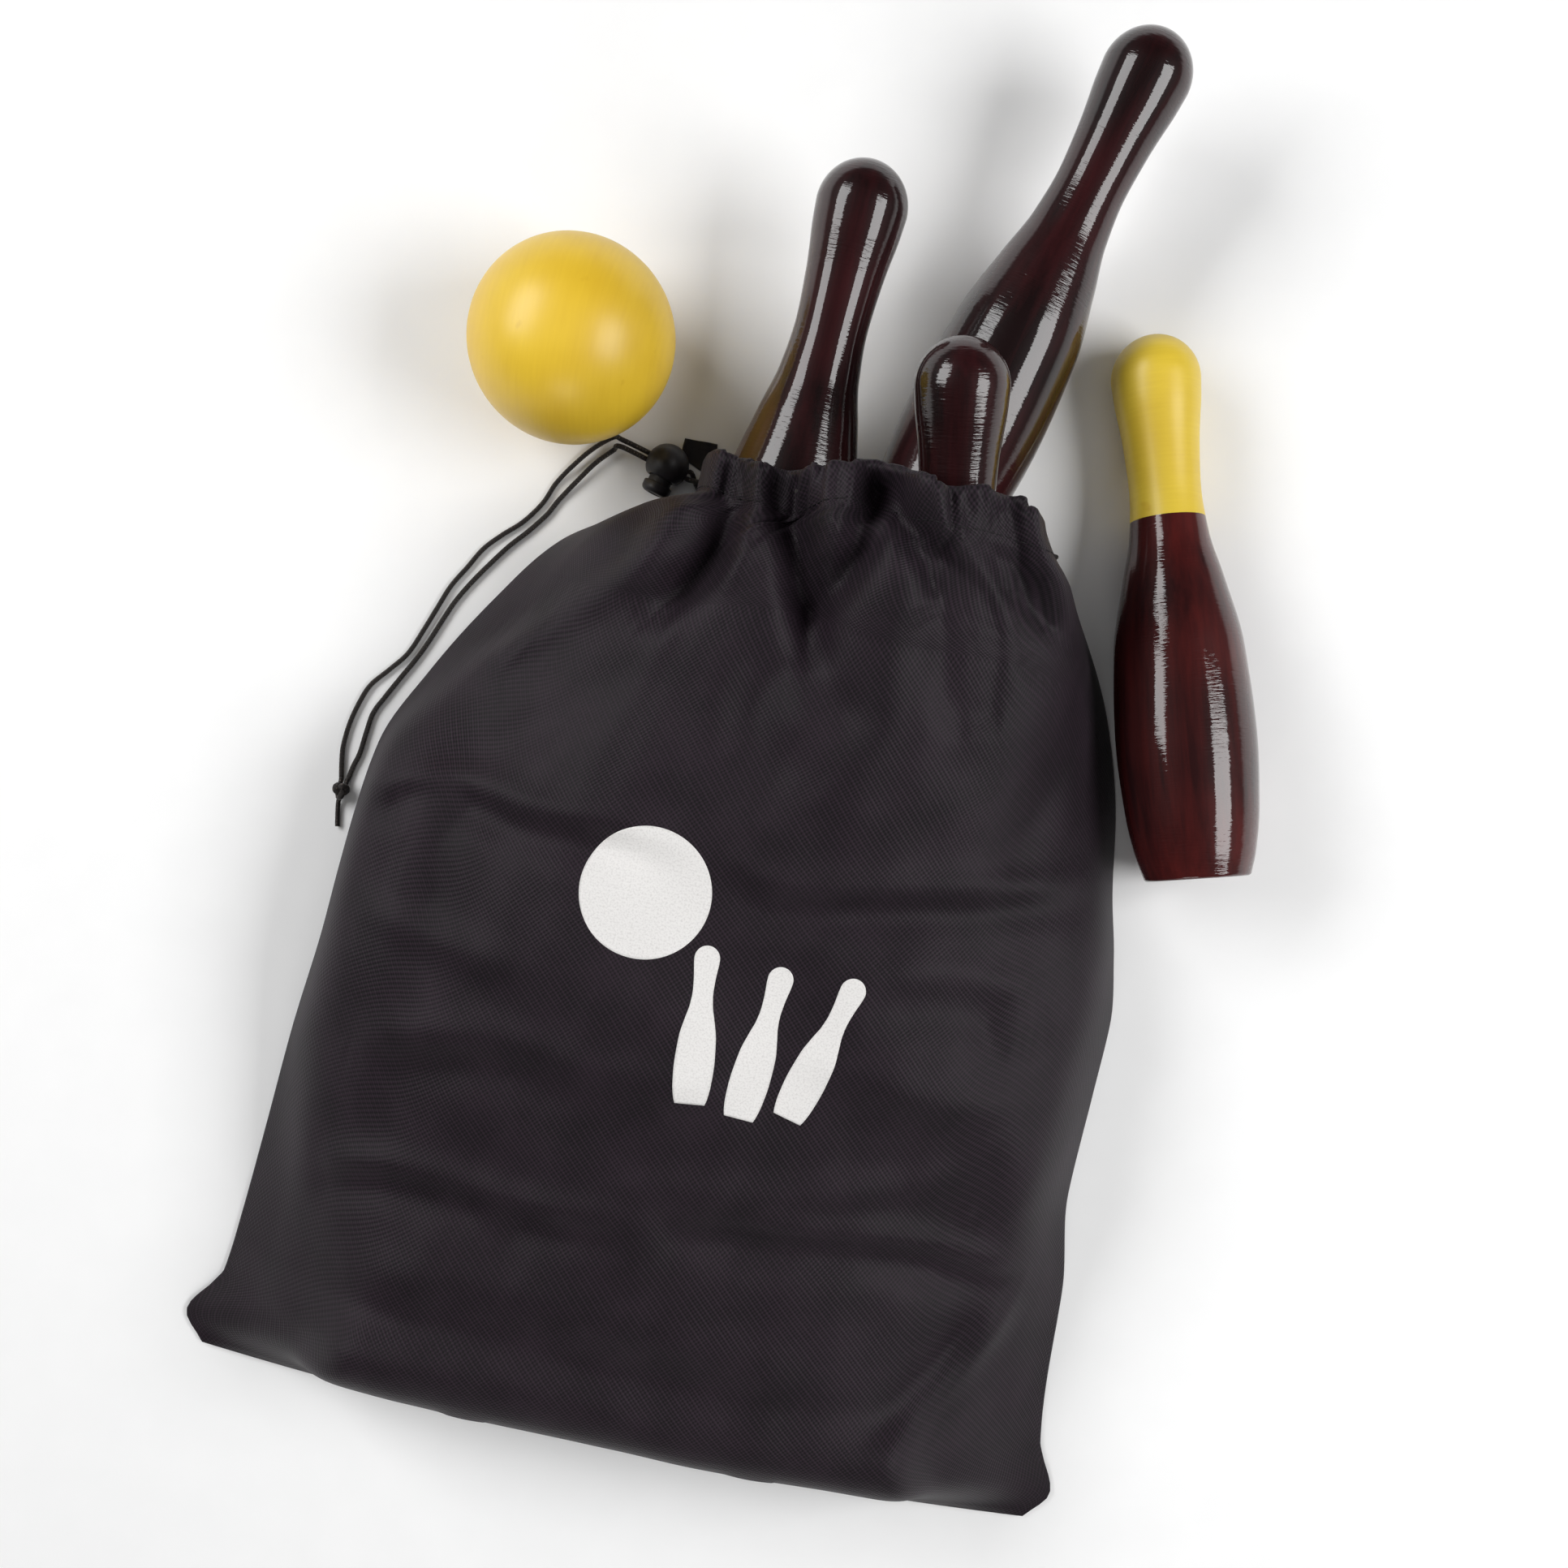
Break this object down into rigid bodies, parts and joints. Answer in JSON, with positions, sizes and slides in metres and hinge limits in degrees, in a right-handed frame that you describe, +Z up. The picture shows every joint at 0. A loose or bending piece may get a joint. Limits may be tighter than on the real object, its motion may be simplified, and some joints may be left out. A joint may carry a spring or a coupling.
{
  "type": "lawn ninepins set",
  "caption": "Turned wooden lawn pins and a ball with their drawstring bag, which lies flat with pins sticking out of its mouth; the king pin and the ball lie beside it",
  "frame": {"origin": "on the underside of the bag's back panel, under the middle of the bag, where the set rests on the ground", "axes": "+Z up; +Y from the bag's bottom seam to its mouth; +X to the right, towards the king pin"},
  "size_m": [0.3552, 0.5531, 0.0931],
  "materials": {
    "pin_lacquer": "dark red-brown gloss lacquer on turned wood",
    "king_pin_paint": "dark red-brown gloss lacquer with a satin yellow neck and head",
    "ball_paint": "satin yellow paint on a wooden ball",
    "bag_cloth": "matt black woven cloth",
    "tab_cloth": "smooth coated black cloth",
    "cord": "dark braided polyester cord with light flecks",
    "lock_plastic": "black moulded plastic",
    "spring_steel": "plain spring steel"
  },
  "bodies": {
    "bag": {"bag_front_panel": "bag_cloth", "bag_back_panel": "bag_cloth", "front_casing": "bag_cloth", "back_casing": "bag_cloth", "casing_end_tab": "tab_cloth", "drawcord": "cord", "outer_strand": "cord", "inner_strand": "cord", "cord_knot": "cord"},
    "king_pin": {"king_pin": "king_pin_paint"},
    "left_pin": {"left_pin": "pin_lacquer"},
    "middle_pin": {"middle_pin": "pin_lacquer"},
    "right_pin": {"right_pin": "pin_lacquer"},
    "hidden_pin_1": {"hidden_pin_1": "pin_lacquer"},
    "hidden_pin_2": {"hidden_pin_2": "pin_lacquer"},
    "hidden_pin_3": {"hidden_pin_3": "pin_lacquer"},
    "hidden_pin_4": {"hidden_pin_4": "pin_lacquer"},
    "hidden_pin_5": {"hidden_pin_5": "pin_lacquer"},
    "ball": {"ball": "ball_paint"},
    "cord_lock": {"cord_lock_body": "lock_plastic", "cord_lock_spring": "spring_steel"},
    "lock_plunger": {"cord_lock_plunger": "lock_plastic"}
  },
  "joints": [
    {"name": "left_pin_pull", "type": "slide", "parent": "bag", "child": "left_pin", "axis": [0.0431, 0.9867, 0.1564], "range_m": [0, 0.102]},
    {"name": "middle_pin_pull", "type": "slide", "parent": "bag", "child": "middle_pin", "axis": [-0.1679, 0.8801, 0.444], "range_m": [0, 0.04]},
    {"name": "right_pin_pull", "type": "slide", "parent": "bag", "child": "right_pin", "axis": [0.2449, 0.9607, 0.1305], "range_m": [0, 0.0428]},
    {"name": "hidden_pin_1_shift", "type": "slide", "parent": "bag", "child": "hidden_pin_1", "axis": [0, 1, 0], "range_m": [0, 0.02]},
    {"name": "hidden_pin_2_shift", "type": "slide", "parent": "bag", "child": "hidden_pin_2", "axis": [0, 1, 0], "range_m": [0, 0.04]},
    {"name": "hidden_pin_3_shift", "type": "slide", "parent": "bag", "child": "hidden_pin_3", "axis": [0, 1, 0], "range_m": [0, 0.04]},
    {"name": "hidden_pin_4_shift", "type": "slide", "parent": "bag", "child": "hidden_pin_4", "axis": [0, 1, 0], "range_m": [0, 0.008]},
    {"name": "hidden_pin_5_shift", "type": "slide", "parent": "bag", "child": "hidden_pin_5", "axis": [0, 1, 0], "range_m": [0, 0.008]},
    {"name": "king_pin_tip", "type": "hinge", "parent": "bag", "child": "king_pin", "pos_m": [0.16873, 0.07313, 0], "axis": [0.9617, 0.274, 0], "range_deg": [0, 93.79]},
    {"name": "ball_roll", "type": "hinge", "parent": "bag", "child": "ball", "pos_m": [-0.0955, 0.2188, 0.0375], "axis": [1, 0, 0], "continuous": true},
    {"name": "lock_slide", "type": "slide", "parent": "bag", "child": "cord_lock", "axis": [-0.9703, 0.2419, 0], "range_m": [0, 0.01]},
    {"name": "plunger_press", "type": "slide", "parent": "cord_lock", "child": "lock_plunger", "axis": [0.2419, 0.9703, 0], "range_m": [0, 0.002], "stiffness_N_per_m": 600, "springref_m": -0.004, "deforming": ["cord_lock_spring"]}
  ]
}
